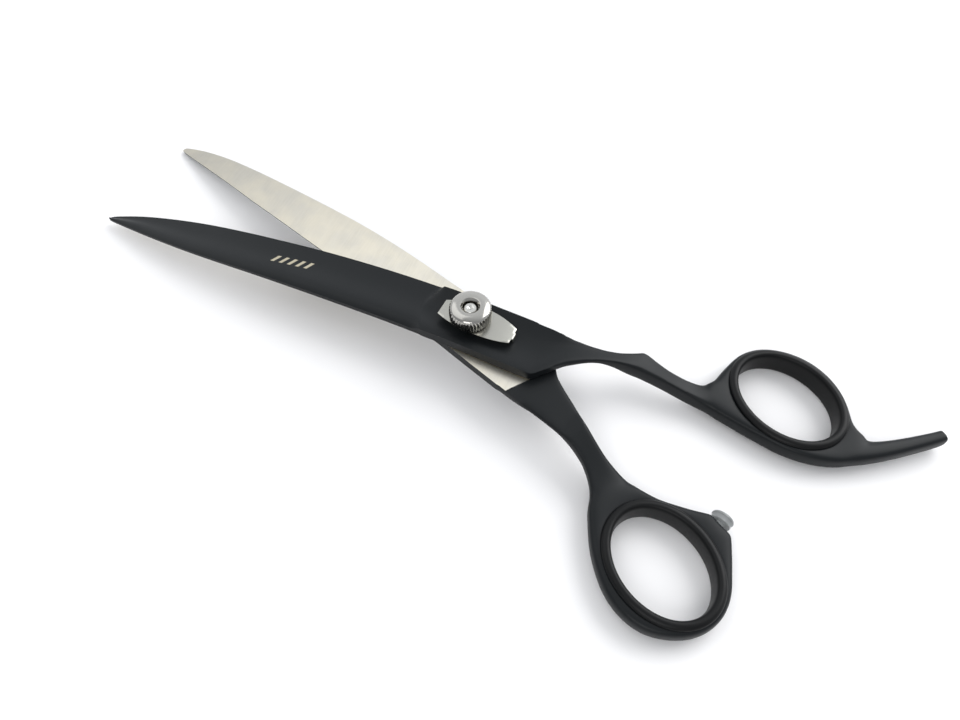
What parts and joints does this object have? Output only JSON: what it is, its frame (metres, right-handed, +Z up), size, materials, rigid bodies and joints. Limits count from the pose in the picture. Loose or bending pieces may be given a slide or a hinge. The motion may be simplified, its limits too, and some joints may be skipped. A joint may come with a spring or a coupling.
{
  "type": "hair cutting shears",
  "caption": "Long curved-blade barber shears lying half open, with soft ring inserts, finger rest, bumper and knurled tension knob on a leaf spring plate.",
  "frame": {"origin": "middle of the open shears' footprint, on the surface they lie on; the pivot axis is 9.7 mm along +Y from it", "axes": "+Z up along the pivot axis, +X from the blades to the handles along the finger half"},
  "size_m": [0.2283, 0.0854, 0.0186],
  "materials": {
    "coated_steel": "satin black coating",
    "thumb_coated_steel": "satin black coating, ground steel on the inner face",
    "ring_rubber": "smooth black silicone rubber",
    "bumper_vinyl": "translucent soft vinyl",
    "bolt_steel": "turned stainless steel",
    "bush_nylon": "natural nylon",
    "glide_acetal": "natural acetal",
    "spring_steel": "polished spring steel",
    "washer_steel": "plain spring steel",
    "knob_plating": "polished plating with a straight knurl"
  },
  "bodies": {
    "finger_half_body": {"finger_half": "coated_steel", "finger_ring_insert": "ring_rubber", "pivot_bolt": "bolt_steel", "glide_washer": "glide_acetal", "leaf_spring_plate": "spring_steel"},
    "thumb_half_body": {"thumb_half": "thumb_coated_steel", "thumb_ring_insert": "ring_rubber", "pivot_bush": "bush_nylon", "bumper": "bumper_vinyl"},
    "thrust_washer_body": {"thrust_washer": "washer_steel"},
    "tension_knob_body": {"tension_knob": "knob_plating"}
  },
  "joints": [
    {"name": "blade_pivot", "type": "hinge", "parent": "finger_half_body", "child": "thumb_half_body", "pos_m": [0, 0.0097, 0.01025], "axis": [0, 0, 1], "range_deg": [-73.4, 16.6]},
    {"name": "tension_lift", "type": "slide", "parent": "finger_half_body", "child": "thrust_washer_body", "axis": [0, 0, 1], "range_m": [-0.000125, 0.0005]},
    {"name": "tension_knob_turn", "type": "hinge", "parent": "thrust_washer_body", "child": "tension_knob_body", "pos_m": [0, 0.0097, 0.0145], "axis": [0, 0, 1], "range_deg": [-90, 360]}
  ],
  "couplings": [
    {"joint": "tension_knob_turn", "follows": "tension_lift", "rad_per_m": 12566}
  ]
}
